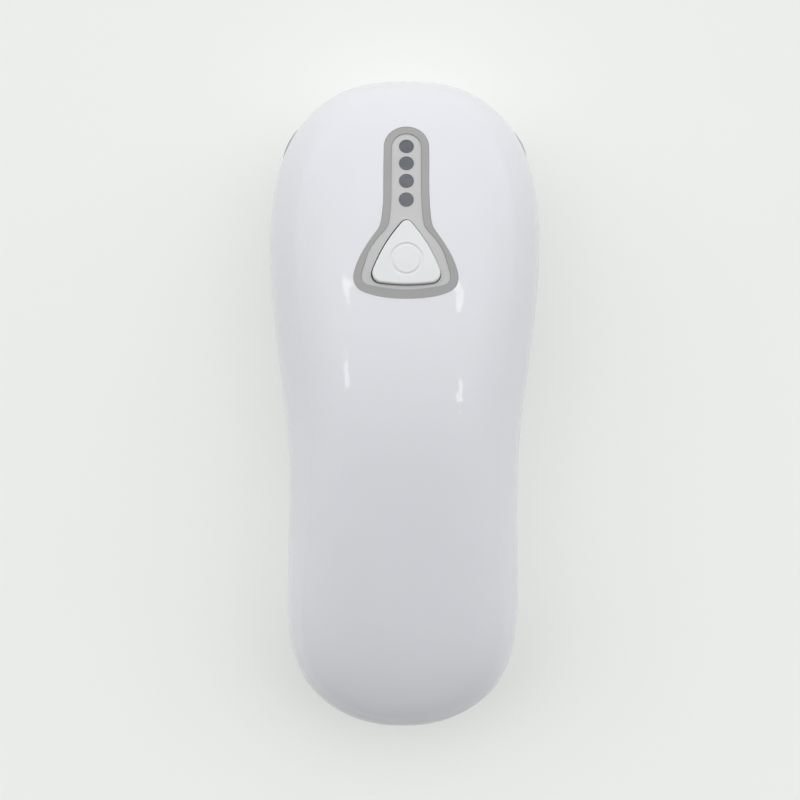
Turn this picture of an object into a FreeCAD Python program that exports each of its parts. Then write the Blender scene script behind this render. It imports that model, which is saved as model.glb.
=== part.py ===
"""Handheld bag heat sealer: a pebble-shaped rechargeable jaw sealer, about 130 mm long.

The cover hinges on the base at the rear and carries the heater under its nose. Pressing the
nose down closes it on the silicone pad of the base. Millimetres, +Z up, origin on the floor
under the middle of the object, -Y towards the nose, +X to the right seen from above.

Every part is drawn with the jaws CLOSED. Parts of the cover are then turned open about the
hinge, which is the rest pose that the files hold.
"""
import math
import os

import FreeCAD
import Part
from FreeCAD import Vector

# ---------------------------------------------------------------- driving dimensions
HALF_LENGTH = 65.0
RIM_Z = 14.0            # widest level of the body, where the dome meets the skirt
LEDGE_Z = 9.0           # top of the base's visible band
BASE_BOTTOM = 0.8       # underside of the base, carried on rubber feet
COVER_WALL = 2.0
LIP_R = 0.5             # rounding of the shells' visible edges
BASE_WALL = 1.8
SKIRT_GAP = 0.3         # cover skirt above the base ledge when closed
SLIDE_GAP = 0.5         # cover skirt to the base's inner wall
WALL_TOP = 17.0         # top of the base's inner wall

HINGE_Y, HINGE_Z = 52.5, 15.0
OPEN_DEG = 3.2          # how far the spring holds the cover open
PIN_R = 1.5

MOUTH_Y = -44.6         # the mouth for the bag is in front of this
JAW_TOP = 13.0
PAD_TOP = 13.65
HEAT_Y = -53.5          # middle of the heating strip
HEAT_LENGTH = 28.0

CELL_R, CELL_LENGTH = 9.2, 65.0
CELL_Y0, CELL_Z = -30.0, 13.6      # front end and axis height of the battery cell

PANEL_TILT = 5.0        # the control board and the button lean back by this
PANEL_Y, PANEL_Z = 36.0, 31.0      # a point on the control board's top face
LENS_R = 1.38
LENS_Y = [36.65, 40.35, 43.9, 47.4]
PANEL_TOP_Y, NECK_Y, FOOT_Y = 51.5, 32.7, 21.75     # places along the panel's outline
PANEL_DEPTH, PANEL_BORDER = 1.1, 1.45
KEY_TOP_Y, KEY_MID_Y, KEY_LOW_Y = 32.6, 27.2, 20.4  # the triangular button
KEY_GAP = 0.2           # the button to its opening, all round if it sat in the middle
KEY_SHIFT = (0.08, -0.09)          # it sits off the middle, to the right and to the nose
RING_R, RING_TUBE_R, RING_DEPTH = 2.85, 0.55, 0.14  # the groove on the button
BUTTON_TRAVEL = 0.4
BUTTON_PROUD = 0.6
BUTTON_Y = 25.1         # centre of the ring on the button

SPRING_X, SPRING_Y = 13.0, -35.0
SPRING_LEAN = 0.2       # the springs' seats are behind their posts by this
SWITCH_X, SWITCH_Y = 15.5, 31.0
CLAMP_Y, CLAMP_POST_X = 2.0, 14.2

# Stations along the body, rear to nose: the poles of a smooth skin.
STATION_Y = [65, 65, 59, 46, 28, 8, -10, -30, -49, -61, -65, -65]
STATION_HALF_WIDTH = [0, 9.5, 20.2, 26.8, 27.7, 25.3, 22.6, 23.0, 23.5, 17.3, 6.3, 0]
STATION_HEIGHT = [0, 8.2, 17.4, 22.5, 24.4, 23.6, 21.5, 17.6, 12.8, 7.2, 3.4, 0]
# Half a cross-section, from the rim to the crown, as shares of half width and height.
SECTION = [(1, 0), (1, 0.054), (1.015, 0.564), (0.615, 0.982), (0, 1.01)]

FAR, HIGH = 80.0, 60.0  # beyond the body, lengthwise and upwards
SIDE = 40.0             # beyond the body, sideways

# The hinge's ears on the base, the bosses beside them on the cover, and the caps.
EAR_X0, EAR_X1 = 11.5, 15.0
EAR_R = 4.0
BOSS_X0 = EAR_X1 + 0.3
CAP_X, CAP_R = 21.3, 3.3

# The springs, drawn as they are at rest.
SPRING_WIRE_R, SPRING_COIL_R, SPRING_TURNS = 0.35, 2.75, 6
SPRING_TOP = 20.5                       # underside of the cover's spring post, closed
SPRING_REST_RISE = (HINGE_Y - SPRING_Y) * math.sin(math.radians(OPEN_DEG))

# The jaw switch, pressed by a finger of the cover.
SWITCH_BOTTOM = 8.2
SWITCH_PRESSED_TOP = SWITCH_BOTTOM + 6.0 + 0.4
SWITCH_REST_RISE = (HINGE_Y - SWITCH_Y) * math.sin(math.radians(OPEN_DEG))

# The heater, screwed under the nose of the cover.
HOLDER_TOP = RIM_Z + 3.0
TERMINAL_X = 11.5
HOLDER_SCREWS = [(-6.5, -47.4), (6.5, -47.4)]
PAD_HALF = 17.0

# The charging board in the base, its socket and the flap over it.
BOARD_Z, BOARD_THICK = 3.2, 1.2
MAIN_SCREWS = [(-8.6, 57.6), (8.6, 57.6)]
PORT_Z = BOARD_Z + BOARD_THICK + 1.6
PLUG_Y = 40.2                           # front face of the battery plug
SENSE_X = 9.8                           # outer face of the jaw switch's plug
LEAD_R = 0.65
FLAP_HALF, FLAP_Z0, FLAP_Z1 = 7.5, 3.8, 8.3
FLAP_THICK = 1.2
FLAP_AXIS_X, FLAP_AXIS_Y = -FLAP_HALF + FLAP_THICK / 2, 63.76

# The control board, whose top face is the panel's own frame.
STEM_TOP = 2.9                          # top of the push switch's stem above the board
BOARD_FRONT, BOARD_REAR = 13.7, 53.5
HEATER_PAD_Z = PANEL_Z - BOARD_THICK / math.cos(math.radians(PANEL_TILT)) + (
    PANEL_Y - BOARD_FRONT - 4.5) * math.tan(math.radians(PANEL_TILT))
RIBBON_Y, RIBBON_Z0 = 46.4, BOARD_Z + 2.2
RIBBON_TOP_Y = 46.2

# The battery's clamp, and what is on the underside.
CLAMP_TAB_Z = 9.5
MAGNET_Y = [-14.0, 22.0]
MAGNET_R, MAGNET_THICK = 6.0, 2.0
FEET = [(-15.5, 44.0), (15.5, 44.0), (-13.5, -50.0), (13.5, -50.0)]
FOOT_R = 3.5
LABEL_Y = 4.0

HINGE = Vector(0, HINGE_Y, HINGE_Z)
X_AXIS, Y_AXIS, Z_AXIS = Vector(1, 0, 0), Vector(0, 1, 0), Vector(0, 0, 1)


# ---------------------------------------------------------------- helpers
def box(x0, x1, y0, y1, z0, z1):
    return Part.makeBox(x1 - x0, y1 - y0, z1 - z0, Vector(x0, y0, z0))


def rod(radius, start, end):
    """A cylinder from start to end."""
    start, end = Vector(*start), Vector(*end)
    return Part.makeCylinder(radius, (end - start).Length, start, end - start)


def fused(shapes):
    first, *rest = shapes
    return first.multiFuse(rest).removeSplitter() if rest else first


def mirrored(shape):
    """The same shape on the other side of the YZ plane."""
    return shape.mirror(Vector(0, 0, 0), X_AXIS)


def group(shapes):
    """Separate solids kept in one file."""
    return Part.makeCompound([s for shape in shapes for s in shape.Solids])


def knots(count, degree=3):
    spans = count - degree
    values = [i / spans for i in range(spans + 1)]
    return values, [degree + 1] + [1] * (spans - 1) + [degree + 1]


def skin(inset, rim_z=RIM_Z):
    """The dome over the rim plane, moved inwards by inset, as a solid, and its rim as a wire."""
    half = SECTION + [(-c, d) for c, d in SECTION[-2::-1]]
    poles = []
    for y, width, height in zip(STATION_Y, STATION_HALF_WIDTH, STATION_HEIGHT):
        y *= 1 - inset / HALF_LENGTH
        width = max(0.0, width - inset)
        height = max(0.0, height - inset)
        poles.append([Vector(c * width, y, rim_z + d * height) for c, d in half])
    along, along_mults = knots(len(poles))
    across, across_mults = knots(len(half))
    surface = Part.BSplineSurface()
    surface.buildFromPolesMultsKnots(
        poles, along_mults, across_mults, along, across, False, False, 3, 3)
    face = surface.toShape()
    rim = Part.Wire([e for e in face.Edges if not e.Degenerated])
    solid = Part.Solid(Part.Shell([face, Part.Face(rim)]))
    solid.fix(1e-6, 1e-6, 1e-6)
    return solid, rim


def prism(inset, z0, z1):
    """The body's plan outline, moved inwards by inset, from z0 up to z1."""
    _, rim = skin(inset, z0)
    return Part.Face(rim).extrude(Vector(0, 0, z1 - z0))


def pod(inset, skirt_z):
    """The dome with a straight skirt down to skirt_z."""
    dome, _ = skin(inset)
    return dome.fuse(prism(inset, skirt_z, RIM_Z)).removeSplitter()


def tub(inset, z0, z1, edge_radius):
    """The plan outline from z0 to z1 with a rounded bottom edge."""
    solid = prism(inset, z0, z1)
    low = [e for e in solid.Edges if e.BoundBox.ZMax < z0 + 0.01]
    return solid.makeFillet(edge_radius, low)


def route(points, corner):
    """Straight runs along points, joined by tangent arcs of the radius given."""
    points = [Vector(*p) for p in points]
    edges, at = [], points[0]
    for before, here, after in zip(points, points[1:], points[2:]):
        a, b = (before - here).normalize(), (after - here).normalize()
        half_angle = a.getAngle(b) / 2
        cut = corner / math.tan(half_angle)
        middle = here + (a + b).normalize() * (corner / math.sin(half_angle) - corner)
        edges.append(Part.LineSegment(at, here + a * cut).toShape())
        edges.append(Part.Arc(here + a * cut, middle, here + b * cut).toShape())
        at = here + b * cut
    edges.append(Part.LineSegment(at, points[-1]).toShape())
    return Part.Wire(edges)


def tube(points, radius, corner):
    """A round lead along points."""
    start, to = Vector(*points[0]), Vector(*points[1])
    profile = Part.Wire(Part.makeCircle(radius, start, to - start))
    return route(points, corner).makePipeShell([profile], True, True)


def screw(x, y, head_z, up, shank_r=1.0, head_r=1.9, length=6.0, head=1.3):
    """A pan-head screw with a cross recess. Its head's bearing face is at head_z."""
    way = 1 if up else -1
    shape = rod(shank_r, (x, y, head_z), (x, y, head_z + way * length))
    cap = rod(head_r, (x, y, head_z), (x, y, head_z - way * head))
    outer_z = head_z - way * head
    rim = [e for e in cap.Edges if abs(e.BoundBox.ZMin - outer_z) < 1e-3
           and abs(e.BoundBox.ZMax - outer_z) < 1e-3]
    cap = cap.makeFillet(head * 0.5, rim)
    low, high = sorted([outer_z - 0.01 * way, outer_z + 0.65 * way])
    arm, web = head_r * 0.62, 0.24
    recess = box(x - arm, x + arm, y - web, y + web, low, high).fuse(
        box(x - web, x + web, y - arm, y + arm, low, high))
    return shape.fuse(cap).cut(recess).removeSplitter()


# ---------------------------------------------------------------- the panel's own frame
PANEL = FreeCAD.Placement(
    Vector(0, PANEL_Y, PANEL_Z), FreeCAD.Rotation(X_AXIS, -PANEL_TILT))


def on_panel(shape):
    """Moves a shape drawn on the control board's top face (z = 0) into place."""
    shape = shape.copy()
    shape.Placement = PANEL.multiply(shape.Placement)
    return shape


def panel_s(y):
    """Distance along the panel from its origin of what lies over y in plan."""
    return (y - PANEL_Y) / math.cos(math.radians(PANEL_TILT))


def panel_prism(wire, low=-1.0, high=14.0):
    """A flat wire of the panel, pushed along the panel's normal."""
    face = Part.Face(wire)
    face.translate(Vector(0, 0, low))
    return on_panel(face.extrude(Vector(0, 0, high - low)))


BOARD_SCREWS = [(x, panel_s(y)) for y, x_all in ((16.2, (-6.0, 6.0)), (50.8, (-6.4, 6.4)))
                for x in x_all]


def arc(a, b, c):
    return Part.Arc(Vector(*a, 0), Vector(*b, 0), Vector(*c, 0)).toShape()


def flask_wire(grow=0.0):
    """The panel's outline: a round-topped stem that widens into a soft triangle."""
    stem_top, stem_r = panel_s(PANEL_TOP_Y), 4.3 + grow
    neck_y, foot_x, foot_y = panel_s(NECK_Y), 9.9 + grow, panel_s(FOOT_Y)
    cap_y = stem_top - 4.3
    right = [
        (stem_r, cap_y),
        (4.65 + grow, neck_y + 0.5),
        (4.95 + grow, neck_y - 1.0),
        (6.2 + grow * 0.8, neck_y - 3.0),
        (8.5 + grow * 0.8, neck_y - 6.6),
        (foot_x - 0.35, foot_y + 1.9),
        (foot_x, foot_y),
        (9.3 + grow * 0.7, foot_y - 1.75 - grow * 0.85),
        (6.9 + grow * 0.4, foot_y - 3.15 - grow * 1.1),
    ]
    bottom = (0, foot_y - 4.05 - grow * 1.2)
    points = [Vector(x, y, 0) for x, y in right]
    points.append(Vector(*bottom, 0))
    points += [Vector(-x, y, 0) for x, y in reversed(right)]
    side = Part.BSplineCurve()
    side.interpolate(Points=points, InitialTangent=Vector(0.016, -1, 0),
                     FinalTangent=Vector(0.016, 1, 0))
    cap = arc((-stem_r, cap_y), (0, cap_y + stem_r), (stem_r, cap_y))
    return Part.Wire([side.toShape(), cap])


def triangle_wire(grow=0.0):
    """The button's outline: a triangle of three gentle arcs with round corners."""
    apex, low = panel_s(KEY_TOP_Y) + grow, panel_s(KEY_LOW_Y) - grow
    apex_x, side_x = 1.0 + grow * 0.5, 6.45 + grow
    side = arc((apex_x, apex - 0.55), (4.45 + grow * 0.85, panel_s(KEY_MID_Y)),
               (side_x - 0.15, low + 2.9))
    corner = arc((side_x - 0.15, low + 2.9), (side_x - 0.3, low + 1.2),
                 (side_x - 1.6, low + 0.35))
    left_corner = arc((-side_x + 1.6, low + 0.35), (-side_x + 0.3, low + 1.2),
                      (-side_x + 0.15, low + 2.9))
    left = arc((-side_x + 0.15, low + 2.9), (-4.45 - grow * 0.85, panel_s(KEY_MID_Y)),
               (-apex_x, apex - 0.55))
    top = arc((-apex_x, apex - 0.55), (0, apex), (apex_x, apex - 0.55))
    foot = arc((side_x - 1.6, low + 0.35), (0, low), (-side_x + 1.6, low + 0.35))
    return Part.Wire([side, corner, foot, left_corner, left, top])


def opened(point):
    """Where a point of the closed cover is at rest."""
    turn = FreeCAD.Rotation(X_AXIS, -OPEN_DEG)
    return HINGE + turn.multVec(point - HINGE)


def lens_rods(radius, low, high):
    return [on_panel(rod(radius, (0, panel_s(y), low), (0, panel_s(y), high))) for y in LENS_Y]


# ---------------------------------------------------------------- cover and its trim
def make_cover_outside(skirt_z):
    """The cover's outer form, cut away for the mouth, level at the rear when open."""
    level_when_open = box(-SIDE, SIDE, -FAR - 20, FAR, 0, skirt_z)
    level_when_open.rotate(HINGE, X_AXIS, OPEN_DEG)
    mouth = box(-SIDE, SIDE, -FAR, MOUTH_Y, 0, RIM_Z)
    form = pod(0.0, skirt_z).cut(mouth).cut(level_when_open)
    lips = [e for e in form.Edges if not e.Degenerated and e.BoundBox.ZMax < RIM_Z - 1]
    uprights = [e for e in form.Edges if not e.Degenerated and e.BoundBox.ZLength > 2
                and abs(e.BoundBox.YMax - MOUTH_Y) < 0.2]
    return form.makeFillet(LIP_R, lips + uprights)


def make_top_cover():
    """The white shell: dome, skirt, throat wall behind the mouth, and its inner bosses."""
    skirt_z = LEDGE_Z + SKIRT_GAP
    shell = make_cover_outside(skirt_z).cut(pod(COVER_WALL, skirt_z - 1))
    keep = pod(1.0, skirt_z)
    throat = box(-30, 30, MOUTH_Y, MOUTH_Y + 1.6, skirt_z, HIGH).common(keep)
    boss = rod(EAR_R, (BOSS_X0, HINGE_Y, HINGE_Z), (30, HINGE_Y, HINGE_Z)).common(keep)
    spring_post = fused([
        rod(4.0, (SPRING_X, SPRING_Y, SPRING_TOP), (SPRING_X, SPRING_Y, HIGH)),
        rod(1.75, (SPRING_X, SPRING_Y, SPRING_TOP - 3), (SPRING_X, SPRING_Y, HIGH)),
    ]).common(keep)
    finger = box(SWITCH_X - 2.5, SWITCH_X + 2.5, SWITCH_Y - 1, SWITCH_Y + 1,
                 SWITCH_PRESSED_TOP + 0.15, HIGH).common(keep)
    board_posts = [on_panel(rod(2.2, (x, s, 0), (x, s, 12))).common(keep)
                   for x, s in BOARD_SCREWS]
    holder_posts = [rod(2.6, (x, y, HOLDER_TOP), (x, y, HIGH)).common(keep)
                    for x, y in HOLDER_SCREWS]
    inside = [throat, boss, mirrored(boss), spring_post, mirrored(spring_post), finger]
    shell = fused([shell, *inside, *board_posts, *holder_posts])

    bore = rod(PIN_R + 0.05, (-21.2, HINGE_Y, HINGE_Z), (21.2, HINGE_Y, HINGE_Z))
    cap_hole = rod(CAP_R + 0.05, (CAP_X, HINGE_Y, HINGE_Z), (SIDE, HINGE_Y, HINGE_Z))
    pocket = panel_prism(flask_wire(0.03)).cut(skin(PANEL_DEPTH)[0])
    button_hole = panel_prism(triangle_wire(KEY_GAP))
    pilots = [on_panel(rod(1.0, (x, s, -1), (x, s, 2.6))) for x, s in BOARD_SCREWS]
    holder_pilots = [rod(1.0, (x, y, HOLDER_TOP - 1), (x, y, HOLDER_TOP + 3.6))
                     for x, y in HOLDER_SCREWS]
    lead_hole = rod(LEAD_R + 0.25, (TERMINAL_X, MOUTH_Y - 1, HOLDER_TOP + 0.9),
                    (TERMINAL_X, MOUTH_Y + 3, HOLDER_TOP + 0.9))
    cuts = [lead_hole, mirrored(lead_hole), bore, cap_hole, mirrored(cap_hole), pocket, button_hole,
            *lens_rods(LENS_R + 0.05, -1, 12), *pilots, *holder_pilots]
    return shell.cut(cuts)


def make_panel():
    """The darker frame and the lighter inlay, both following the cover's surface."""
    ring = panel_prism(flask_wire(0.0)).cut(panel_prism(flask_wire(-PANEL_BORDER)))
    field = panel_prism(flask_wire(-PANEL_BORDER - 0.03))
    floor = skin(PANEL_DEPTH)[0]
    bezel = ring.common(skin(0.05)[0]).cut(floor)
    inlay = field.common(skin(0.22)[0]).cut(floor)
    inlay = inlay.cut([panel_prism(triangle_wire(KEY_GAP)), *lens_rods(LENS_R + 0.03, -1, 12)])
    return bezel, inlay


def make_lenses():
    surface = skin(0.12)[0]
    return [lens.common(surface) for lens in lens_rods(LENS_R, 0.75, 12)]


def make_button():
    """The triangular key with a flange under the cover and a shallow ring on its face."""
    key = panel_prism(triangle_wire(0.0), low=3.0).common(skin(-BUTTON_PROUD)[0])
    top = [e for e in key.Edges if is_on_key_top(e)]
    key = key.makeFillet(0.4, top)
    flange = panel_prism(triangle_wire(0.9), low=3.0).common(skin(COVER_WALL + 0.25)[0])
    ring_at = panel_s(BUTTON_Y)
    front, rear = [reach(key, ring_at + step) for step in (-RING_R, RING_R)]
    slope = (rear - front) / (2 * RING_R)
    middle = Vector(0, ring_at, (front + rear) / 2 + RING_TUBE_R - RING_DEPTH)
    groove = on_panel(Part.makeTorus(RING_R, RING_TUBE_R, middle, Vector(0, -slope, 1)))
    key = key.fuse(flange).cut(groove).removeSplitter()
    key.translate(Vector(*KEY_SHIFT, 0))
    return key


def reach(shape, s):
    """How far above the control board a shape reaches, on the middle line of the panel."""
    line = on_panel(Part.makeLine(Vector(0, s, 1), Vector(0, s, 14)))
    inverse = PANEL.inverse()
    return max(inverse.multVec(v.Point).z for v in shape.common(line).Vertexes)


def is_on_key_top(edge):
    """True for an edge around the key's outer face, which is far above the control board."""
    inverse = PANEL.inverse()
    heights = [inverse.multVec(edge.valueAt(t)).z
               for t in (edge.FirstParameter, edge.LastParameter)]
    return min(heights) > 4.5


def make_control_board():
    """The control board with its parts: chip, four lamps and the push switch."""
    s0, s1 = panel_s(BOARD_FRONT), panel_s(BOARD_REAR)
    board = Part.makeBox(17, s1 - s0, 1.2, Vector(-8.5, s0, -1.2))
    upright = [e for e in board.Edges if abs(e.tangentAt(e.FirstParameter).z) > 0.9]
    board = board.makeFillet(1.2, upright)
    board = board.cut([rod(1.05, (x, s, -2), (x, s, 1)) for x, s in BOARD_SCREWS])
    lamps = group([Part.makeBox(1.6, 1.0, 0.65, Vector(-0.8, panel_s(y) - 0.5, 0))
                   for y in LENS_Y])
    ring_at = panel_s(BUTTON_Y)
    body = Part.makeBox(6, 6, 1.6, Vector(-3, ring_at - 3, 0))
    body = body.cut(rod(1.6, (0, ring_at, 0.3), (0, ring_at, 3)))
    stem = rod(1.5, (0, ring_at, 0.3 + BUTTON_TRAVEL + 0.1), (0, ring_at, STEM_TOP))
    chip = Part.makeBox(4, 5, 1.0, Vector(-6.5, panel_s(37), -2.2))
    small = [Part.makeBox(1.6, 0.8, 0.6, Vector(3.0, panel_s(y), -1.8)) for y in (36, 38.5, 41)]
    chips = group([chip, *small])
    screws = group([on_panel(screw(x, s, -1.2, up=True, length=3.6, shank_r=0.98, head_r=1.8,
                                   head=1.1)) for x, s in BOARD_SCREWS])
    return [on_panel(s) for s in (board, lamps, body, stem, chips)] + [screws]


def make_hinge_cap():
    """A dark plug over the right end of the hinge pin, following the body and just proud of it."""
    proud = prism(-0.3, 4, 26)
    plug = rod(CAP_R, (CAP_X + 0.05, HINGE_Y, HINGE_Z), (SIDE, HINGE_Y, HINGE_Z)).common(proud)
    return plug.makeFillet(0.25, [e for e in plug.Edges if e.BoundBox.XMin > CAP_X + 0.3])


# ---------------------------------------------------------------- heater in the cover's nose
def make_heater():
    holder = skin(COVER_WALL + 0.2)[0].common(
        box(-SIDE, SIDE, -FAR, MOUTH_Y - 0.2, RIM_Z - 1, HOLDER_TOP))
    half = HEAT_LENGTH / 2 + 1
    bar = box(-half, half, HEAT_Y - 2.5, HEAT_Y + 2.5, RIM_Z, RIM_Z + 2.2)
    slot = box(-half - 0.05, half + 0.05, HEAT_Y - 2.55, HEAT_Y + 2.55, RIM_Z - 1, RIM_Z + 2.25)
    leg_slot = box(TERMINAL_X - 1.3, TERMINAL_X + 1.3, HEAT_Y + 2.6, HEAT_Y + 3.2,
                   RIM_Z - 1, HOLDER_TOP + 1)
    heads = [rod(2.05, (x, y, RIM_Z - 1), (x, y, RIM_Z + 1.6)) for x, y in HOLDER_SCREWS]
    shanks = [rod(1.05, (x, y, RIM_Z - 1), (x, y, HOLDER_TOP + 1)) for x, y in HOLDER_SCREWS]
    holder = holder.cut([slot, leg_slot, mirrored(leg_slot), *heads, *shanks])
    screws = group([screw(x, y, RIM_Z + 1.6, up=True, length=4.8, shank_r=0.98)
                    for x, y in HOLDER_SCREWS])
    strip_half = HEAT_LENGTH / 2
    strip = box(-strip_half, strip_half, HEAT_Y - 1.2, HEAT_Y + 1.2, RIM_Z - 0.1, RIM_Z)
    tail = fused([
        box(TERMINAL_X - 1.0, TERMINAL_X + 1.0, HEAT_Y, HEAT_Y + 2.95, RIM_Z - 0.1, RIM_Z),
        box(TERMINAL_X - 1.0, TERMINAL_X + 1.0, HEAT_Y + 2.8, HEAT_Y + 2.95,
            RIM_Z - 0.1, HOLDER_TOP + 1.2)])
    strip = fused([strip, tail, mirrored(tail)])
    clip = box(TERMINAL_X - 1.8, TERMINAL_X + 1.8, HEAT_Y + 2.95, HEAT_Y + 5.0,
               HOLDER_TOP, HOLDER_TOP + 1.6)
    clips = group([clip, mirrored(clip)])
    sheet = box(-17, 17, HEAT_Y - 6.5, HEAT_Y + 6.0, RIM_Z - 0.23, RIM_Z - 0.1)
    sheet = sheet.common(prism(1.0, 5, 20))
    return holder, bar, strip, clips, sheet, screws


# ---------------------------------------------------------------- base and what it holds
def make_base():
    """The lower tray: band, inner wall, lower jaw, hinge ears, posts and pockets."""
    inner = COVER_WALL + SLIDE_GAP
    floor_z = BASE_BOTTOM + BASE_WALL
    band = tub(0.0, BASE_BOTTOM, LEDGE_Z, 3.5)
    band = band.makeFillet(LIP_R, [e for e in band.Edges if e.BoundBox.ZMin > LEDGE_Z - 0.01])
    throat_y = MOUTH_Y + 1.6 + SLIDE_GAP
    behind = box(-SIDE, SIDE, throat_y, FAR, 0, HIGH)
    wall = prism(inner, BASE_BOTTOM + 2, WALL_TOP).common(behind)
    jaw = prism(0.0, LEDGE_Z - 2, JAW_TOP).common(box(-SIDE, SIDE, -FAR, MOUTH_Y - 0.6, 0, HIGH))
    jaw = jaw.makeFillet(0.8, [e for e in jaw.Edges if e.BoundBox.ZMin > JAW_TOP - 0.01])
    body = fused([band, wall, jaw])

    main_cavity = prism(inner + BASE_WALL, floor_z, WALL_TOP + 1).common(
        box(-SIDE, SIDE, throat_y + BASE_WALL, FAR, 0, HIGH))
    band_cavity = prism(2.4, floor_z, LEDGE_Z - BASE_WALL)
    jaw_cavity = prism(2.4, floor_z, JAW_TOP - 3.6).common(box(-SIDE, SIDE, -FAR, -47.2, 0, HIGH))
    body = body.cut([main_cavity, band_cavity, jaw_cavity])

    ear = fused([box(EAR_X0, EAR_X1, HINGE_Y - EAR_R, HINGE_Y + EAR_R, floor_z - 0.5, HINGE_Z),
                 rod(EAR_R, (EAR_X0, HINGE_Y, HINGE_Z), (EAR_X1, HINGE_Y, HINGE_Z))])
    sleeve = rod(4.3, (SPRING_X, SPRING_Y, floor_z - 0.5), (SPRING_X, SPRING_Y, 6.5))
    clamp_post = rod(3.0, (CLAMP_POST_X, CLAMP_Y, floor_z - 0.5),
                     (CLAMP_POST_X, CLAMP_Y, CLAMP_TAB_Z))
    cradle = [box(-9, 9, y - 1, y + 1, floor_z - 0.5, CELL_Z - 3) for y in (-24, 14, 30)]
    cradle = fused(cradle).cut(rod(CELL_R + 0.05, (0, -60, CELL_Z), (0, 60, CELL_Z)))
    stop = box(-5, 5, CELL_Y0 - 2.2, CELL_Y0 - 0.6, floor_z - 0.5, CELL_Z - 2)
    switch_post = box(SWITCH_X - 3, SWITCH_X + 3, SWITCH_Y - 6.5, SWITCH_Y + 6.5,
                      floor_z - 0.5, SWITCH_BOTTOM)
    board_post = [rod(2.0, (x, y, floor_z - 0.5), (x, y, BOARD_Z)) for x, y in MAIN_SCREWS]
    magnet_boss = [rod(MAGNET_R + 1.6, (0, y, floor_z - 0.5), (0, y, 4.2)) for y in MAGNET_Y]
    foot_boss = [rod(FOOT_R + 1.1, (x, y, floor_z - 0.5), (x, y, 3.2)) for x, y in FEET]
    body = fused([body, ear, mirrored(ear), sleeve, mirrored(sleeve), clamp_post,
                  mirrored(clamp_post), cradle, stop, switch_post,
                  *board_post, *magnet_boss, *foot_boss])

    pin_bore = rod(PIN_R, (-30, HINGE_Y, HINGE_Z), (30, HINGE_Y, HINGE_Z))
    notch = box(EAR_X1 + 0.1, SIDE, HINGE_Y - 5.2, HINGE_Y + 5.2, LEDGE_Z, 30)
    seat_y = SPRING_Y + SPRING_LEAN
    spring_hole = rod(3.3, (SPRING_X, seat_y, floor_z), (SPRING_X, seat_y, 20))
    clamp_pilot = rod(1.2, (CLAMP_POST_X, CLAMP_Y, 3.4), (CLAMP_POST_X, CLAMP_Y, 20))
    pad_groove = box(-PAD_HALF - 0.05, PAD_HALF + 0.05, HEAT_Y - 4.05, HEAT_Y + 4.05,
                     JAW_TOP - 1.5, 20)
    magnet_holes = [rod(MAGNET_R + 0.05, (0, y, 0), (0, y, BASE_BOTTOM + MAGNET_THICK + 0.05))
                    for y in MAGNET_Y]
    foot_holes = [rod(FOOT_R, (x, y, 0), (x, y, BASE_BOTTOM + 1.0)) for x, y in FEET]
    main_pilots = [rod(1.0, (x, y, 2.0), (x, y, 8)) for x, y in MAIN_SCREWS]
    recess = box(-FLAP_HALF - 0.15, FLAP_HALF + 0.15, 55, FAR, FLAP_Z0 - 0.15, FLAP_Z1 + 0.15)
    recess = recess.cut(tub(1.35, BASE_BOTTOM + 1.35, LEDGE_Z + 2, 2.0))
    port = box(-5.0, 5.0, 58, FAR, PORT_Z - 1.9, PORT_Z + 1.9)
    label_recess = box(-15.2, 15.2, LABEL_Y - 8.2, LABEL_Y + 8.2, 0, BASE_BOTTOM + 0.25)
    cuts = [pin_bore, notch, mirrored(notch), spring_hole, mirrored(spring_hole), clamp_pilot,
            mirrored(clamp_pilot), pad_groove, *magnet_holes, *foot_holes, *main_pilots,
            recess, port, label_recess]
    return body.cut(cuts)


def make_flap():
    """The soft cover of the charging port, with its plug. Its round left end is its hinge."""
    outside = tub(0.0, BASE_BOTTOM, LEDGE_Z, 3.5)
    plate = box(FLAP_AXIS_X, FLAP_HALF, 55, FAR, FLAP_Z0, FLAP_Z1).common(
        outside).cut(tub(FLAP_THICK, BASE_BOTTOM + FLAP_THICK, LEDGE_Z + 2, 2.2))
    barrel = rod(FLAP_THICK / 2, (FLAP_AXIS_X, FLAP_AXIS_Y, FLAP_Z0),
                 (FLAP_AXIS_X, FLAP_AXIS_Y, FLAP_Z1))
    plug = box(-4.2, 4.2, 62.7, 64.0, PORT_Z - 1.4, PORT_Z + 1.4)
    lengthwise = [e for e in plug.Edges if abs(e.tangentAt(e.FirstParameter).y) > 0.9]
    plug = plug.makeFillet(1.3, lengthwise)
    return fused([plate, barrel, plug])


def make_cell():
    """The battery cell's wrapped can, its end contacts and its welded tabs."""
    y1 = CELL_Y0 + CELL_LENGTH
    can = rod(CELL_R, (0, CELL_Y0 + 0.4, CELL_Z), (0, y1 - 1.6, CELL_Z))
    can = can.makeFillet(0.7, [e for e in can.Edges if e.Closed and len(e.Vertexes) == 1])
    ends = group([rod(6.5, (0, CELL_Y0, CELL_Z), (0, CELL_Y0 + 0.4, CELL_Z)),
                  rod(3.0, (0, y1 - 1.6, CELL_Z), (0, y1, CELL_Z))])
    front = box(-3, 3, CELL_Y0 - 0.2, CELL_Y0, CELL_Z - 2, CELL_Z + 6)
    rear = box(-2.5, 2.5, y1, y1 + 0.2, CELL_Z - 5, CELL_Z + 2)
    return can, ends, group([front, rear])


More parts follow.
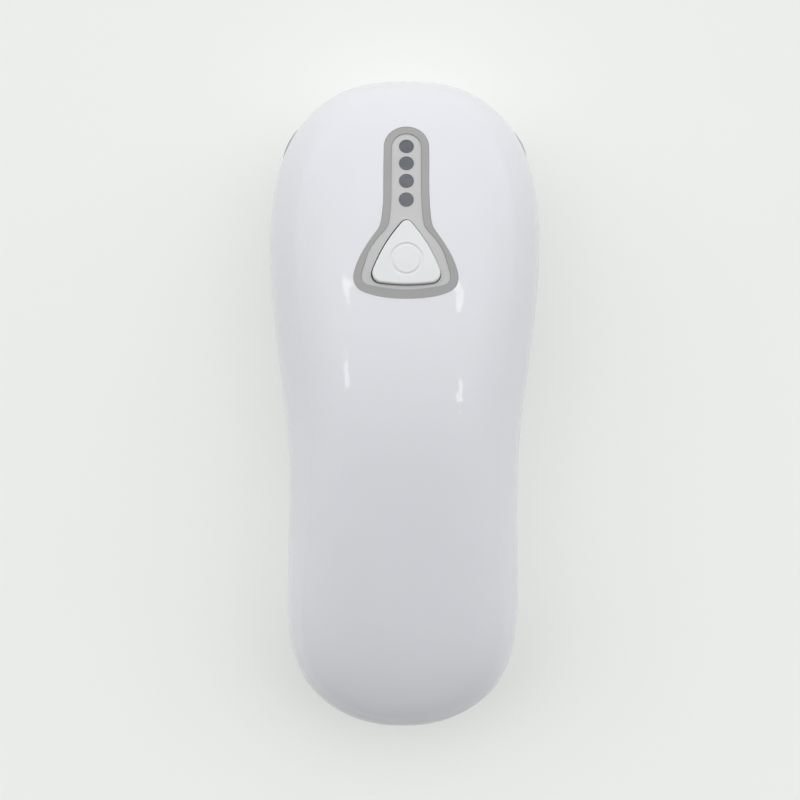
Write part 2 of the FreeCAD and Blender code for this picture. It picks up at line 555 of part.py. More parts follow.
def make_clamp():
    """A strap over the cell, screwed to two posts of the base."""
    y0, y1 = CLAMP_Y - 4, CLAMP_Y + 4
    strap = rod(CELL_R + 1.8, (0, y0, CELL_Z), (0, y1, CELL_Z)).fuse(
        box(-CELL_R - 1.8, CELL_R + 1.8, y0, y1, CLAMP_TAB_Z, CELL_Z))
    tab = box(CELL_R, CLAMP_POST_X + 3.4, y0, y1, CLAMP_TAB_Z, CLAMP_TAB_Z + 1.8)
    strap = strap.common(box(-SIDE, SIDE, y0, y1, CLAMP_TAB_Z, HIGH))
    strap = fused([strap, tab, mirrored(tab)])
    hollow = rod(CELL_R + 0.1, (0, y0 - 1, CELL_Z), (0, y1 + 1, CELL_Z)).fuse(
        box(-CELL_R - 0.1, CELL_R + 0.1, y0 - 1, y1 + 1, 0, CELL_Z))
    hole = rod(1.25, (CLAMP_POST_X, CLAMP_Y, 0), (CLAMP_POST_X, CLAMP_Y, 30))
    strap = strap.cut([hollow, hole, mirrored(hole)])
    one = screw(CLAMP_POST_X, CLAMP_Y, CLAMP_TAB_Z + 1.8, up=False, shank_r=1.18, head_r=2.3,
                length=6.5, head=1.5)
    return strap, group([one, mirrored(one)])


def make_main_board():
    """The charging board with its socket, chips, plug for the leads and screws."""
    board = box(-10.5, 10.5, 39.5, 60.0, BOARD_Z, BOARD_Z + BOARD_THICK)
    upright = [e for e in board.Edges if abs(e.tangentAt(e.FirstParameter).z) > 0.9]
    board = board.makeFillet(1.0, upright)
    board = board.cut([rod(1.05, (x, y, 0), (x, y, 9)) for x, y in MAIN_SCREWS])
    top = BOARD_Z + BOARD_THICK
    shell = box(-4.47, 4.47, 55.0, 62.4, PORT_Z - 1.6, PORT_Z + 1.6)
    shell = shell.makeFillet(1.3, [e for e in shell.Edges
                                   if abs(e.tangentAt(e.FirstParameter).y) > 0.9])
    mouth = box(-4.17, 4.17, 56.2, 63, PORT_Z - 1.28, PORT_Z + 1.28)
    mouth = mouth.makeFillet(1.1, [e for e in mouth.Edges
                                   if abs(e.tangentAt(e.FirstParameter).y) > 0.9])
    tongue = box(-3.3, 3.3, 56.0, 61.6, PORT_Z - 0.35, PORT_Z + 0.35)
    socket = shell.cut(mouth)
    chips = group([box(-9.6, -4.8, 47.5, 51.5, top, top + 1.3),
                   box(5.4, 9.6, 46.5, 51.5, top, top + 2.2),
                   box(-2.4, 0.2, 48.5, 51.2, top, top + 1.0),
                   box(2.0, 3.6, 52.6, 53.4, top, top + 0.7),
                   box(-6.4, -4.8, 53.0, 53.8, top, top + 0.7)])
    plug = group([box(-9.4, 3.4, PLUG_Y, PLUG_Y + 4.0, top, top + 4.4),
                  box(SENSE_X - 3.4, SENSE_X, PLUG_Y + 0.4, PLUG_Y + 4.2, top, top + 3.4)])
    screws = group([screw(x, y, top, up=False, length=2.4, shank_r=0.98, head_r=1.8, head=1.1)
                    for x, y in MAIN_SCREWS])
    return board, socket, tongue.cut(shell.cut(mouth)), chips, plug, screws


def make_switch():
    """The switch that the cover presses when the jaws close. Its key is drawn pressed."""
    body = box(SWITCH_X - 2.9, SWITCH_X + 2.9, SWITCH_Y - 6.4, SWITCH_Y + 6.4,
               SWITCH_BOTTOM, SWITCH_BOTTOM + 6.0)
    body = body.cut([
        box(SWITCH_X - 1.3, SWITCH_X + 1.3, SWITCH_Y - 1.0, SWITCH_Y + 1.0,
            SWITCH_BOTTOM + 1.5, 30),
        rod(1.1, (SWITCH_X - 4, SWITCH_Y - 4.2, SWITCH_BOTTOM + 2),
            (SWITCH_X + 4, SWITCH_Y - 4.2, SWITCH_BOTTOM + 2)),
        rod(1.1, (SWITCH_X - 4, SWITCH_Y + 4.2, SWITCH_BOTTOM + 2),
            (SWITCH_X + 4, SWITCH_Y + 4.2, SWITCH_BOTTOM + 2))])
    key = box(SWITCH_X - 1.2, SWITCH_X + 1.2, SWITCH_Y - 0.9, SWITCH_Y + 0.9,
              SWITCH_BOTTOM + 1.8, SWITCH_PRESSED_TOP)
    return body, key


def make_spring(height):
    """A compression spring with closed ends, standing under the right spring post."""
    closed_pitch = 2.1 * SPRING_WIRE_R
    rise = height - 2 * SPRING_WIRE_R - 0.04
    open_pitch = (rise - 2 * closed_pitch) / SPRING_TURNS
    pitches = [closed_pitch, *[open_pitch] * SPRING_TURNS, closed_pitch]
    turns, z = [], 0
    for pitch in pitches:
        turn = Part.makeHelix(pitch, pitch, SPRING_COIL_R)
        turn.translate(Vector(0, 0, z))
        turns += turn.Edges
        z += pitch
    profile = Part.Wire(Part.makeCircle(SPRING_WIRE_R, Vector(SPRING_COIL_R, 0, 0), Y_AXIS))
    coil = Part.Wire(turns).makePipeShell([profile], True, True)
    coil.translate(Vector(SPRING_X, SPRING_Y + SPRING_LEAN,
                          BASE_BOTTOM + BASE_WALL + SPRING_WIRE_R + 0.02))
    return coil


def make_ribbon():
    """The flat cable between the two boards, drawn at rest, with a slack bend by the hinge."""
    half, thick = 3.0, 0.3
    top = opened(PANEL.multVec(Vector(0, panel_s(RIBBON_TOP_Y), -2.85)))
    points = [(0, RIBBON_Y, RIBBON_Z0), (0, RIBBON_Y, 11.0), (0, 40.6, 15.5),
              (0, 40.6, 20.0), (0, top.y, 24.4), (0, top.y, top.z)]
    low, high = RIBBON_Y - thick / 2, RIBBON_Y + thick / 2
    corners = [Vector(x, y, RIBBON_Z0) for x, y in
               ((-half, low), (half, low), (half, high), (-half, high), (-half, low))]
    return route(points, 2.4).makePipeShell([Part.makePolygon(corners)], True, True)


def make_ribbon_sockets():
    """The ribbon's socket on the charging board, and the one under the control board."""
    lower = box(-3.8, 3.8, RIBBON_Y - 1.2, RIBBON_Y + 1.2,
                BOARD_Z + BOARD_THICK, RIBBON_Z0 + 0.8)
    slot = box(-3.1, 3.1, RIBBON_Y - 0.2, RIBBON_Y + 0.2, RIBBON_Z0, RIBBON_Z0 + 2)
    s0 = panel_s(RIBBON_TOP_Y)
    upper = on_panel(box(-3.8, 3.8, s0 - 1.2, s0 + 1.2, -2.8, -1.2))
    return lower.cut(slot), upper


def make_battery_leads():
    """Red from the rear tab and black from the front tab, to the plug on the charging board."""
    tab_y = CELL_Y0 + CELL_LENGTH + 0.2
    red = tube([(1.6, tab_y, 10.6), (1.6, 37.8, 10.6), (1.6, 37.8, 6.6),
                (1.6, PLUG_Y, 6.6)], LEAD_R, 1.2)
    front_y, side_x, low_z = CELL_Y0 - 2.6, -10.2, 5.6
    black = tube([(-1.6, CELL_Y0 - 0.2, 17.2), (-1.6, front_y, 17.2), (-8.0, front_y, 17.2),
                  (-8.0, front_y, low_z), (side_x, -25.0, low_z), (side_x, 34.0, low_z),
                  (-7.8, 37.6, 6.6), (-7.8, PLUG_Y, 6.6)], LEAD_R, 1.1)
    return red, black


def make_switch_leads():
    """Two thin leads from the jaw switch to their plug on the charging board."""
    start_y = SWITCH_Y + 6.4
    leads = [tube([(x, start_y, 11.0), (x, y, 11.0), (x, y, 6.4), (SENSE_X, y, 6.4)], 0.5, 0.9)
             for x, y in ((14.4, 41.4), (16.2, 43.4))]
    return group(leads)


def make_heater_leads():
    """From the heater's clips, through the throat wall and over the cell, to the board."""
    clip_y, clip_z = HEAT_Y + 5.0, HOLDER_TOP + 0.9
    lead = tube([(TERMINAL_X, clip_y, clip_z), (TERMINAL_X, -42.0, clip_z), (6.0, -37.0, 24.6),
                 (3.5, -22.0, 28.0), (3.5, BOARD_FRONT + 4.5, 28.0),
                 (3.5, BOARD_FRONT + 4.5, HEATER_PAD_Z - 0.06)], LEAD_R, 1.8)
    return group([lead, mirrored(lead)])


def main():
    base_parts, cover_parts = {}, {}
    base_parts["base_housing"] = make_base()
    base_parts["port_cover"] = make_flap()
    can, ends, tabs = make_cell()
    base_parts.update(battery_cell=can, battery_terminals=ends, battery_tabs=tabs)
    base_parts["battery_clamp"], base_parts["clamp_screws"] = make_clamp()
    names = ("charging_board", "usb_socket", "usb_tongue", "charging_chips",
             "lead_connector", "charging_board_screws")
    base_parts.update(zip(names, make_main_board()))
    base_parts["hinge_pin"] = rod(PIN_R, (-21, HINGE_Y, HINGE_Z), (21, HINGE_Y, HINGE_Z))
    pad = box(-PAD_HALF, PAD_HALF, HEAT_Y - 4, HEAT_Y + 4, JAW_TOP - 1.5, PAD_TOP)
    base_parts["silicone_pad"] = pad.makeFillet(
        0.4, [e for e in pad.Edges if e.BoundBox.ZMin > PAD_TOP - 0.01])
    base_parts["base_magnets"] = group([rod(MAGNET_R, (0, y, BASE_BOTTOM),
                                            (0, y, BASE_BOTTOM + MAGNET_THICK))
                                        for y in MAGNET_Y])
    foot = rod(FOOT_R, (0, 0, 0), (0, 0, BASE_BOTTOM + 1.0))
    foot = foot.makeFillet(0.35, [e for e in foot.Edges if e.BoundBox.ZMax < 0.01])
    base_parts["rubber_feet"] = group([foot.translated(Vector(x, y, 0)) for x, y in FEET])
    base_parts["rating_label"] = box(-15, 15, LABEL_Y - 8, LABEL_Y + 8,
                                     BASE_BOTTOM + 0.05, BASE_BOTTOM + 0.25)
    base_parts["battery_lead_red"], base_parts["battery_lead_black"] = make_battery_leads()
    base_parts["switch_leads"] = make_switch_leads()
    base_parts["ribbon_cable"] = make_ribbon()
    base_parts["ribbon_socket_lower"], cover_parts["ribbon_socket_upper"] = make_ribbon_sockets()
    spring = make_spring(SPRING_TOP + SPRING_REST_RISE - 0.55 - BASE_BOTTOM - BASE_WALL)
    base_parts.update(return_spring_right=spring, return_spring_left=mirrored(spring))
    base_parts["seal_switch"], key = make_switch()
    key.translate(Vector(0, 0, SWITCH_REST_RISE))
    base_parts["seal_switch_key"] = key

    cover_parts["top_cover"] = make_top_cover()
    cover_parts["panel_bezel"], cover_parts["panel_inlay"] = make_panel()
    for number, lens in enumerate(make_lenses(), 1):
        cover_parts[f"led_lens_{number}"] = lens
    names = ("control_board", "indicator_leds", "power_switch", "power_switch_stem",
             "control_chips", "control_board_screws")
    cover_parts.update(zip(names, make_control_board()))
    cover_parts["power_button"] = make_button()
    names = ("heater_holder", "ceramic_bar", "heating_strip", "heater_terminals",
             "ptfe_sheet", "heater_screws")
    cover_parts.update(zip(names, make_heater()))
    cover_parts["heater_leads"] = make_heater_leads()
    cap = make_hinge_cap()
    cover_parts.update(hinge_cap_right=cap, hinge_cap_left=mirrored(cap))

    for shape in cover_parts.values():
        shape.rotate(HINGE, X_AXIS, -OPEN_DEG)

    os.makedirs("parts", exist_ok=True)
    for name, shape in {**base_parts, **cover_parts}.items():
        solids = shape.Solids
        bad = [s for s in solids if not s.isValid()]
        print(f"{name:24s} solids {len(solids)} volume {shape.Volume:10.2f}",
              "INVALID" if bad or not solids else "")
        shape.exportStep(f"parts/{name}.step")


main()
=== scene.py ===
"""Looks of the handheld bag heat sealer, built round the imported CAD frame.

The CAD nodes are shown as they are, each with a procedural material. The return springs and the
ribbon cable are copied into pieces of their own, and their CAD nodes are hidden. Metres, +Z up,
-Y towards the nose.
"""
import math

import bpy
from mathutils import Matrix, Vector


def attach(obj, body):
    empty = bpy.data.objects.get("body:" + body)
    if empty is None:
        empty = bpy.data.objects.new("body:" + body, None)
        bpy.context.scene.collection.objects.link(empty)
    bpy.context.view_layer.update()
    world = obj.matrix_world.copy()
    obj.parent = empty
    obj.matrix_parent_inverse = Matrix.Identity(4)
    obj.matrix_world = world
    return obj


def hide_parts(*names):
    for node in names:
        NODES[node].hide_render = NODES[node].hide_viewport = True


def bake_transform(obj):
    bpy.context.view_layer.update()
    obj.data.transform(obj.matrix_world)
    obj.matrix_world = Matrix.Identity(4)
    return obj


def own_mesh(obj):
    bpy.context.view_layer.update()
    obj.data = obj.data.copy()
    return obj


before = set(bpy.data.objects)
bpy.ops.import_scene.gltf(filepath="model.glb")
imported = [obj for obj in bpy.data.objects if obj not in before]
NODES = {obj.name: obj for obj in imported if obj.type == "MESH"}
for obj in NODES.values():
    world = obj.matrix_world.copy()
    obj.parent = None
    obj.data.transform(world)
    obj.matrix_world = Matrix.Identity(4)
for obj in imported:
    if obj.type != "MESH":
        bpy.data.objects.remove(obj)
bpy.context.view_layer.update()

MM = 0.001

CAMERA_PLACE = (-4.0, 0.41, 330)    # mm
CAMERA_LENS, CAMERA_SENSOR = 69.35, 36.0
CAMERA_SHIFT = 0.0200
CAMERA_ROLL = 0.35                  # degrees

# The studio. Each EDGE is the pair of direction components between which the light changes
# smoothly from the first to the second level of the LIGHT or SHARE beside it.
SKY_EDGE = (-0.26, 0.08)            # in Y: a bright sky overhead and behind the object
SKY_HEIGHT = (0.45, 0.95)           # in Z
SKY_LIGHT = 1.08
SKY_FADE = (0.30, 0.80)             # in Y: far behind, down to SKY_FAR of its light
SKY_FAR = 0.55
ROOM_EDGE, ROOM_LIGHT = (-0.52, 0.18), (0.05, 0.87)         # in Y
SIDE_EDGE, SIDE_LIGHT = (0.35, 0.85), (0, 0.62)             # in X, on either side
SIDE_REAR_EDGE, SIDE_REAR_SHARE = (-0.35, 0.25), (0.3, 1)   # in Y
HORIZON_EDGE, HORIZON_SHARE = (0.0, 0.12), (0.35, 1.0)      # in Z
STUDIO_TINT = (0.985, 1.0, 1.0)

FLOOR_SIZE = 24                     # metres
FLOOR_BELOW = 0.00003               # just clear of the feet
FLOOR_GLOW = 0.34                   # the floor is lit a little from below

# The four small lamps, as x, y in metres at LAMP_HEIGHT.
LAMPS = {"left_rear": (-0.51, 0.175), "left_front": (-0.59, -0.09),
         "right_rear": (0.455, 0.145), "right_front": (0.57, -0.135)}
LAMP_HEIGHT = 1.15
LAMP_SIZE = (0.07, 0.10)
LAMP_POWER = 0.12
LAMP_TARGET = (0, 0, 0.02)

BAND_PERIOD = 0.314                 # distance between a wave texture's bands at scale 1
EDGE_WEAR = (0.512, 0.56)           # pointiness at which an edge starts to wear, and is worn


# ---------------------------------------------------------------- material building
class Shader:
    """A Principled material with helpers to add textures in object space, in millimetres."""

    def __init__(self, name, color, roughness, **sockets):
        self.material = bpy.data.materials.new(name)
        self.material.use_nodes = True
        self.tree = self.material.node_tree
        self.bsdf = self.tree.nodes["Principled BSDF"]
        self.bsdf.inputs["Base Color"].default_value = (*color, 1)
        self.bsdf.inputs["Roughness"].default_value = roughness
        for socket, value in sockets.items():
            self.bsdf.inputs[socket.replace("_", " ")].default_value = value
        self.color, self.roughness = color, roughness
        coordinates = self.node("ShaderNodeTexCoord")
        scale = self.node("ShaderNodeVectorMath", operation="SCALE")
        scale.inputs["Scale"].default_value = 1 / MM
        self.link(coordinates.outputs["Object"], scale.inputs[0])
        self.place = scale.outputs[0]
        self.normal = None

    def node(self, kind, **settings):
        made = self.tree.nodes.new(kind)
        for key, value in settings.items():
            setattr(made, key, value)
        return made

    def link(self, a, b):
        self.tree.links.new(a, b)

    def noise(self, size_mm, detail=3.0, stretch=(1, 1, 1)):
        """Noise whose features are about size_mm across, from 0 to 1."""
        mapping = self.node("ShaderNodeMapping")
        mapping.inputs["Scale"].default_value = [s / size_mm for s in stretch]
        self.link(self.place, mapping.inputs["Vector"])
        texture = self.node("ShaderNodeTexNoise")
        texture.inputs["Scale"].default_value = 1.0
        texture.inputs["Detail"].default_value = detail
        self.link(mapping.outputs[0], texture.inputs["Vector"])
        return texture.outputs["Fac"]

    def ranged(self, value, low, high, from_low=0.3, from_high=0.7):
        """From low to high, smoothly, as the value goes from from_low to from_high."""
        made = self.node("ShaderNodeMapRange", interpolation_type="SMOOTHSTEP")
        made.inputs["From Min"].default_value = from_low
        made.inputs["From Max"].default_value = from_high
        made.inputs["To Min"].default_value = low
        made.inputs["To Max"].default_value = high
        self.link(value, made.inputs["Value"])
        return made.outputs[0]

    def mixed(self, factor, a, b):
        """From a to b, each a colour or a socket, as the factor goes from 0 to 1."""
        made = self.node("ShaderNodeMix", data_type="RGBA")
        self.link(factor, made.inputs[0])
        for value, socket in ((a, made.inputs[6]), (b, made.inputs[7])):
            if isinstance(value, tuple):
                socket.default_value = (*value, 1)
            else:
                self.link(value, socket)
        return made.outputs[2]

    def paint(self, color):
        """Makes a colour socket the base colour so far."""
        self.base = color
        self.link(color, self.bsdf.inputs["Base Color"])

    def mottle(self, size_mm, amount, tint=(1, 1, 1)):
        """Slow variation of the colour by plus and minus amount."""
        dark = tuple(c * (1 - amount) for c in self.color)
        light = tuple(min(1, c * (1 + amount) * t) for c, t in zip(self.color, tint))
        self.paint(self.mixed(self.ranged(self.noise(size_mm), 0, 1), dark, light))

    def speckle(self, size_mm, amount, share=0.62):
        """Fine darker specks over the colour so far."""
        spot = self.ranged(self.noise(size_mm, detail=1.0), 0, amount, share, share + 0.08)
        dark = tuple(c * 0.45 for c in self.color)
        self.paint(self.mixed(spot, self.base, dark))

    def worn(self, amount, color):
        """A change of colour along convex edges."""
        pointiness = self.node("ShaderNodeNewGeometry").outputs["Pointiness"]
        self.paint(self.mixed(self.ranged(pointiness, 0, amount, *EDGE_WEAR), self.base, color))

    def uneven(self, size_mm, amount, stretch=(1, 1, 1)):
        """Roughness that varies by plus and minus amount, as from handling."""
        value = self.ranged(self.noise(size_mm, 4.0, stretch), self.roughness - amount,
                            self.roughness + amount)
        self.link(value, self.bsdf.inputs["Roughness"])

    def bump(self, height, depth_mm):
        """Adds a height field, from 0 to 1, as depth_mm of relief."""
        made = self.node("ShaderNodeBump")
        made.inputs["Strength"].default_value = 1.0
        made.inputs["Distance"].default_value = depth_mm * MM
        self.link(height, made.inputs["Height"])
        if self.normal is not None:
            self.link(self.normal, made.inputs["Normal"])
        self.normal = made.outputs[0]
        self.link(self.normal, self.bsdf.inputs["Normal"])

    def grain(self, size_mm, depth_mm, stretch=(1, 1, 1)):
        """Fine relief over the whole surface."""
        self.bump(self.noise(size_mm, 2.0, stretch), depth_mm)

    def bands(self, axis, pitch_mm, distortion):
        """Waves along an axis, X or Y, with their crests pitch_mm apart, from 0 to 1."""
        wave = self.node("ShaderNodeTexWave", wave_type="BANDS", bands_direction=axis)
        wave.inputs["Scale"].default_value = BAND_PERIOD / pitch_mm
        wave.inputs["Distortion"].default_value = distortion
        self.link(self.place, wave.inputs["Vector"])
        return wave


def dress(material, *nodes):
    """Gives every material slot of these CAD nodes the material."""
    for name in nodes:
        mesh = NODES[name].data
        for index in range(len(mesh.materials)):
            mesh.materials[index] = material


# ---------------------------------------------------------------- materials
def shell_white(name, color=(0.704, 0.698, 0.736)):
    """Polished white ABS: a little orange peel, faint flow marks and handling marks."""
    shader = Shader(name, color, 0.34, Specular_IOR_Level=0.25, Coat_Weight=0.6,
                    Coat_Roughness=0.05, Subsurface_Weight=0.06, Subsurface_Scale=0.002)
    shader.bsdf.inputs["Subsurface Radius"].default_value = (1.0, 0.9, 0.85)
    shader.mottle(38, 0.012, tint=(1.0, 1.0, 1.003))
    shader.uneven(9, 0.035)
    shader.grain(2.4, 0.0016)
    shader.grain(0.18, 0.0006)
    return shader.material


def satin_grey(name, color):
    """The panel's film-like plastics, with a fine spark-eroded grain."""
    shader = Shader(name, color, 0.46, Specular_IOR_Level=0.42)
    shader.mottle(5, 0.02)
    shader.speckle(0.22, 0.10)
    shader.uneven(2.5, 0.05)
    shader.grain(0.12, 0.006)
    return shader.material


def key_white():
    """The power key's satin white."""
    shader = Shader("key_white", (0.71, 0.717, 0.725), 0.32, Specular_IOR_Level=0.5,
                    Coat_Weight=0.1, Coat_Roughness=0.15, Subsurface_Weight=0.05,
                    Subsurface_Scale=0.001)
    shader.mottle(6, 0.012)
    shader.uneven(3, 0.015)
    shader.grain(0.14, 0.0012)
    return shader.material


def smoked_lens():
    """Smoked light guide: grey-blue, a shade lighter and darker in small random patches."""
    shader = Shader("smoked_lens", (0.082, 0.090, 0.102), 0.34, Specular_IOR_Level=0.5,
                    Coat_Weight=0.35, Coat_Roughness=0.12)
    shader.mottle(0.9, 0.08)
    shader.uneven(0.8, 0.05)
    shader.grain(0.1, 0.002)
    return shader.material


def moulded(name, color, roughness=0.5, grain=0.006):
    """Plain technical plastic with a moulded grain."""
    shader = Shader(name, color, roughness, Specular_IOR_Level=0.45)
    shader.mottle(4, 0.05)
    shader.uneven(1.6, 0.07)
    shader.grain(0.16, grain)
    return shader.material


def soft_rubber(name, color, roughness=0.72):
    """Silicone and other elastomers: dull, dusty, with a faint sheen."""
    shader = Shader(name, color, roughness, Specular_IOR_Level=0.3, Sheen_Weight=0.15,
                    Sheen_Roughness=0.4)
    shader.mottle(3, 0.025)
    shader.speckle(0.3, 0.06)
    shader.uneven(1.2, 0.04)
    shader.grain(0.22, 0.006)
    return shader.material


def metal(name, color, roughness, stretch=(1, 1, 1), scratch=0.0015):
    """Plated or drawn metal, with fine lines along the way it was worked."""
    shader = Shader(name, color, roughness, Metallic=1.0)
    shader.mottle(2.5, 0.06)
    shader.worn(0.4, tuple(min(1, c * 1.2) for c in color))
    shader.uneven(0.7, 0.09, stretch)
    shader.grain(0.12, scratch, stretch)
    return shader.material


def ceramic():
    """Fired alumina: cream white, chalky, with dark specks."""
    shader = Shader("alumina", (0.82, 0.80, 0.74), 0.58, Subsurface_Weight=0.1,
                    Subsurface_Scale=0.001)
    shader.mottle(1.8, 0.05)
    shader.speckle(0.18, 0.2)
    shader.grain(0.1, 0.006)
    return shader.material


def solder_mask():
    """Circuit board lacquer over copper: tracks as slightly lighter and raised lanes."""
    shader = Shader("solder_mask", (0.018, 0.17, 0.075), 0.32, Specular_IOR_Level=0.5,
                    Coat_Weight=0.3, Coat_Roughness=0.2)
    shader.mottle(7, 0.1)
    lanes = []
    for axis, pitch in (("X", 1.27), ("Y", 2.54)):
        wave = shader.bands(axis, pitch, 0.0)
        lanes.append(shader.ranged(wave.outputs["Fac"], 0, 1, 0.78, 0.86))
    patch = shader.ranged(shader.noise(5.5, 1.0), 0, 1, 0.48, 0.52)
    picked = shader.node("ShaderNodeMix", data_type="FLOAT")
    shader.link(patch, picked.inputs[0])
    shader.link(lanes[0], picked.inputs[2])
    shader.link(lanes[1], picked.inputs[3])
    track = picked.outputs[0]
    shader.paint(shader.mixed(track, shader.base, (0.045, 0.27, 0.12)))
    shader.uneven(2, 0.05)
    shader.bump(track, 0.03)
    return shader.material


def glass_cloth():
    """Brown PTFE-coated glass cloth: a plain weave under a waxy skin."""
    shader = Shader("ptfe_cloth", (0.30, 0.19, 0.10), 0.42, Specular_IOR_Level=0.4,
                    Sheen_Weight=0.1, Sheen_Roughness=0.5)
    shader.mottle(4, 0.12)
    weave = shader.node("ShaderNodeMath", operation="MULTIPLY")
    for axis, socket in zip("XY", weave.inputs):
        threads = shader.bands(axis, 0.5, 0.4)
        threads.inputs["Detail"].default_value = 1.0
        shader.link(threads.outputs["Fac"], socket)
    shader.paint(shader.mixed(weave.outputs[0], shader.base, (0.40, 0.27, 0.15)))
    shader.uneven(1.5, 0.08)
    shader.bump(weave.outputs[0], 0.02)
    return shader.material


def label_foil():
    """A blank label of brushed foil."""
    shader = Shader("label_foil", (0.60, 0.61, 0.63), 0.38, Metallic=0.35)
    shader.mottle(9, 0.03)
    shader.uneven(3, 0.06)
    shader.grain(0.4, 0.003, stretch=(0.1, 1, 1))
    return shader.material


def dress_outside():
    dress(shell_white("cover_white"), "top_cover")
    dress(shell_white("base_white", (0.70, 0.694, 0.728)), "base_housing")
    dress(satin_grey("bezel_grey", (0.335, 0.331, 0.327)), "panel_bezel")
    dress(satin_grey("inlay_grey", (0.505, 0.502, 0.498)), "panel_inlay")
    dress(key_white(), "power_button")
    dress(smoked_lens(), *[f"led_lens_{i}" for i in (1, 2, 3, 4)])
    dress(moulded("cap_grey", (0.42, 0.425, 0.42), 0.42), "hinge_cap_left", "hinge_cap_right")
    dress(soft_rubber("flap_white", (0.69, 0.685, 0.718), 0.5), "port_cover")
    dress(soft_rubber("foot_rubber", (0.05, 0.05, 0.052)), "rubber_feet")
    dress(label_foil(), "rating_label")


def dress_jaws():
    dress(soft_rubber("pad_silicone", (0.52, 0.12, 0.06), 0.5), "silicone_pad")
    dress(metal("heater_alloy", (0.38, 0.35, 0.32), 0.4, (0.06, 1, 1)), "heating_strip")
    dress(metal("brass", (0.70, 0.50, 0.20), 0.32), "heater_terminals")
    dress(soft_rubber("lead_sleeve", (0.55, 0.55, 0.52), 0.6), "heater_leads")
    dress(ceramic(), "ceramic_bar")
    dress(glass_cloth(), "ptfe_sheet")


def dress_mechanics():
    dress(metal("ground_steel", (0.50, 0.50, 0.51), 0.25, (0.06, 1, 1)), "hinge_pin")
    dress(metal("zinc_screws", (0.48, 0.48, 0.50), 0.35), "clamp_screws",
          "charging_board_screws", "control_board_screws", "heater_screws")
    dress(metal("spring_wire", (0.45, 0.45, 0.46), 0.3), "return_spring_left",
          "return_spring_right")
    dress(moulded("black_nylon", (0.035, 0.035, 0.038), 0.45), "heater_holder", "seal_switch",
          "power_switch", "power_switch_stem", "usb_tongue", "charging_chips", "control_chips")
    dress(moulded("clamp_plastic", (0.66, 0.67, 0.68)), "battery_clamp")
    dress(moulded("switch_red", (0.50, 0.05, 0.035)), "seal_switch_key")


def dress_electrics():
    dress(metal("nickel_plate", (0.60, 0.58, 0.55), 0.28), "base_magnets", "battery_terminals",
          "battery_tabs", "usb_socket")
    dress(moulded("cell_sleeve", (0.03, 0.15, 0.42), 0.3, 0.002), "battery_cell")
    dress(moulded("natural_nylon", (0.74, 0.71, 0.60)), "lead_connector",
          "ribbon_socket_lower", "ribbon_socket_upper")
    dress(moulded("ribbon_white", (0.70, 0.70, 0.68), 0.4, 0.003), "ribbon_cable")
    dress(moulded("lamp_white", (0.78, 0.76, 0.66), 0.25, 0.002), "indicator_leds")
    dress(soft_rubber("lead_red", (0.45, 0.02, 0.02), 0.45), "battery_lead_red")
    dress(soft_rubber("lead_black", (0.02, 0.02, 0.02), 0.45), "battery_lead_black")
    dress(soft_rubber("lead_grey", (0.22, 0.22, 0.24), 0.45), "switch_leads")
    dress(solder_mask(), "charging_board", "control_board")


# ---------------------------------------------------------------- pieces of their own
def own_piece(name):
    """A piece of its own, with the shape of a CAD node, that stands for the node."""
    piece = bpy.data.objects.new(f"{name}_soft", NODES[name].data.copy())
    bpy.context.scene.collection.objects.link(piece)
    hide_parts(name)
    return piece


def make_return_spring(side):
    """The spring is copied into a piece of its own, attached to the base, with a mesh of its
    own.
    """
    name = f"return_spring_{side}"
    piece = own_piece(name)
    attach(piece, "base")
    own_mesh(piece)


def make_ribbon():
    """The flat cable is copied into a piece of its own, with its placement baked into the mesh.
    """
    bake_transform(own_piece("ribbon_cable"))


# ---------------------------------------------------------------- floor, light and camera
def make_floor():
    """Plain pale paper, larger than any view shows."""
    bpy.ops.mesh.primitive_plane_add(size=FLOOR_SIZE, location=(0, 0, -FLOOR_BELOW))
    floor = bpy.context.object
    floor.name = "floor"
    shader = Shader("floor_paper", (0.50, 0.505, 0.495), 0.85, Emission_Strength=FLOOR_GLOW)
    shader.bsdf.inputs["Emission Color"].default_value = (1, 1.01, 0.985, 1)
    shader.mottle(60, 0.006)
    shader.grain(0.8, 0.004)
    floor.data.materials.append(shader.material)


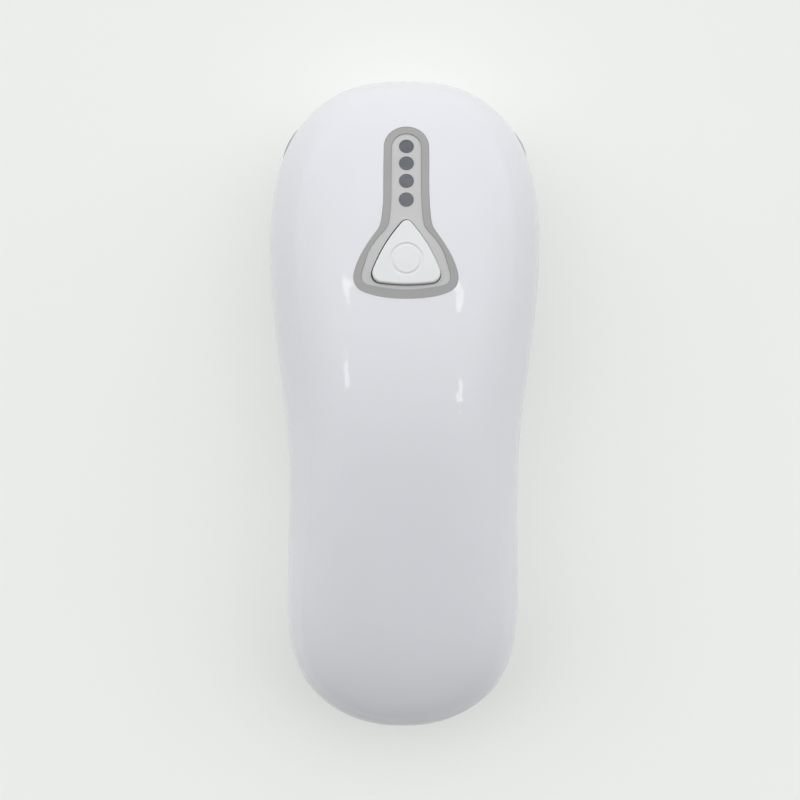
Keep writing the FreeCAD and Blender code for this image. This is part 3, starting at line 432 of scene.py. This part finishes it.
def make_world():
    """The studio: a broad soft sky, light sides, and a dark room before the object."""
    world = bpy.data.worlds.new("studio")
    bpy.context.scene.world = world
    world.use_nodes = True
    tree = world.node_tree
    background = tree.nodes["Background"]
    coordinates = tree.nodes.new("ShaderNodeTexCoord")
    split = tree.nodes.new("ShaderNodeSeparateXYZ")
    tree.links.new(coordinates.outputs["Generated"], split.inputs[0])

    def step(socket, from_low, from_high, low, high):
        made = tree.nodes.new("ShaderNodeMapRange")
        made.interpolation_type = "SMOOTHSTEP"
        for key, value in (("From Min", from_low), ("From Max", from_high),
                           ("To Min", low), ("To Max", high)):
            made.inputs[key].default_value = value
        tree.links.new(socket, made.inputs["Value"])
        return made.outputs[0]

    def join(operation, a, b):
        made = tree.nodes.new("ShaderNodeMath")
        made.operation = operation
        for value, socket in ((a, made.inputs[0]), (b, made.inputs[1])):
            if isinstance(value, (int, float)):
                socket.default_value = value
            else:
                tree.links.new(value, socket)
        return made.outputs[0]

    across, along, up = (split.outputs[axis] for axis in "XYZ")
    sky = join("MULTIPLY", step(along, *SKY_EDGE, 0, 1), step(up, *SKY_HEIGHT, 0, 1))
    sky = join("MULTIPLY", sky, step(along, *SKY_FADE, SKY_LIGHT, SKY_LIGHT * SKY_FAR))
    room = step(along, *ROOM_EDGE, *ROOM_LIGHT)
    sides = step(join("ABSOLUTE", across, 0), *SIDE_EDGE, *SIDE_LIGHT)
    sides = join("MULTIPLY", sides, step(along, *SIDE_REAR_EDGE, *SIDE_REAR_SHARE))
    level = join("ADD", join("ADD", sky, room), sides)
    level = join("MULTIPLY", level, step(up, *HORIZON_EDGE, *HORIZON_SHARE))
    tint = tree.nodes.new("ShaderNodeCombineColor")
    for socket, share in zip(tint.inputs, STUDIO_TINT):
        tree.links.new(join("MULTIPLY", level, share), socket)
    tree.links.new(tint.outputs[0], background.inputs["Color"])
    background.inputs["Strength"].default_value = 1.0


def make_lamp(name, x, y):
    """A small lamp that faces the object and shows as a highlight on the cover."""
    data = bpy.data.lights.new(f"lamp_{name}", "AREA")
    data.shape = "RECTANGLE"
    data.size, data.size_y = LAMP_SIZE
    data.energy = LAMP_POWER
    lamp = bpy.data.objects.new(f"lamp_{name}", data)
    bpy.context.scene.collection.objects.link(lamp)
    lamp.location = (x, y, LAMP_HEIGHT)
    facing = Vector(LAMP_TARGET) - lamp.location
    lamp.rotation_euler = facing.to_track_quat("-Z", "Y").to_euler()


def make_camera():
    """Above the object, a little to its left, with its rear end at the top of the frame."""
    data = bpy.data.cameras.new("camera")
    data.sensor_width = CAMERA_SENSOR
    data.lens = CAMERA_LENS
    data.shift_x = CAMERA_SHIFT
    data.clip_start = 0.01
    camera = bpy.data.objects.new("camera", data)
    camera.location = [value * MM for value in CAMERA_PLACE]
    camera.rotation_euler = (0, 0, math.radians(CAMERA_ROLL))
    bpy.context.scene.collection.objects.link(camera)
    bpy.context.scene.camera = camera


dress_outside()
dress_jaws()
dress_mechanics()
dress_electrics()
make_return_spring("left")
make_return_spring("right")
make_ribbon()
make_floor()
make_world()
for lamp_name, (lamp_x, lamp_y) in LAMPS.items():
    make_lamp(lamp_name, lamp_x, lamp_y)
make_camera()
bpy.context.scene.view_settings.view_transform = "Standard"
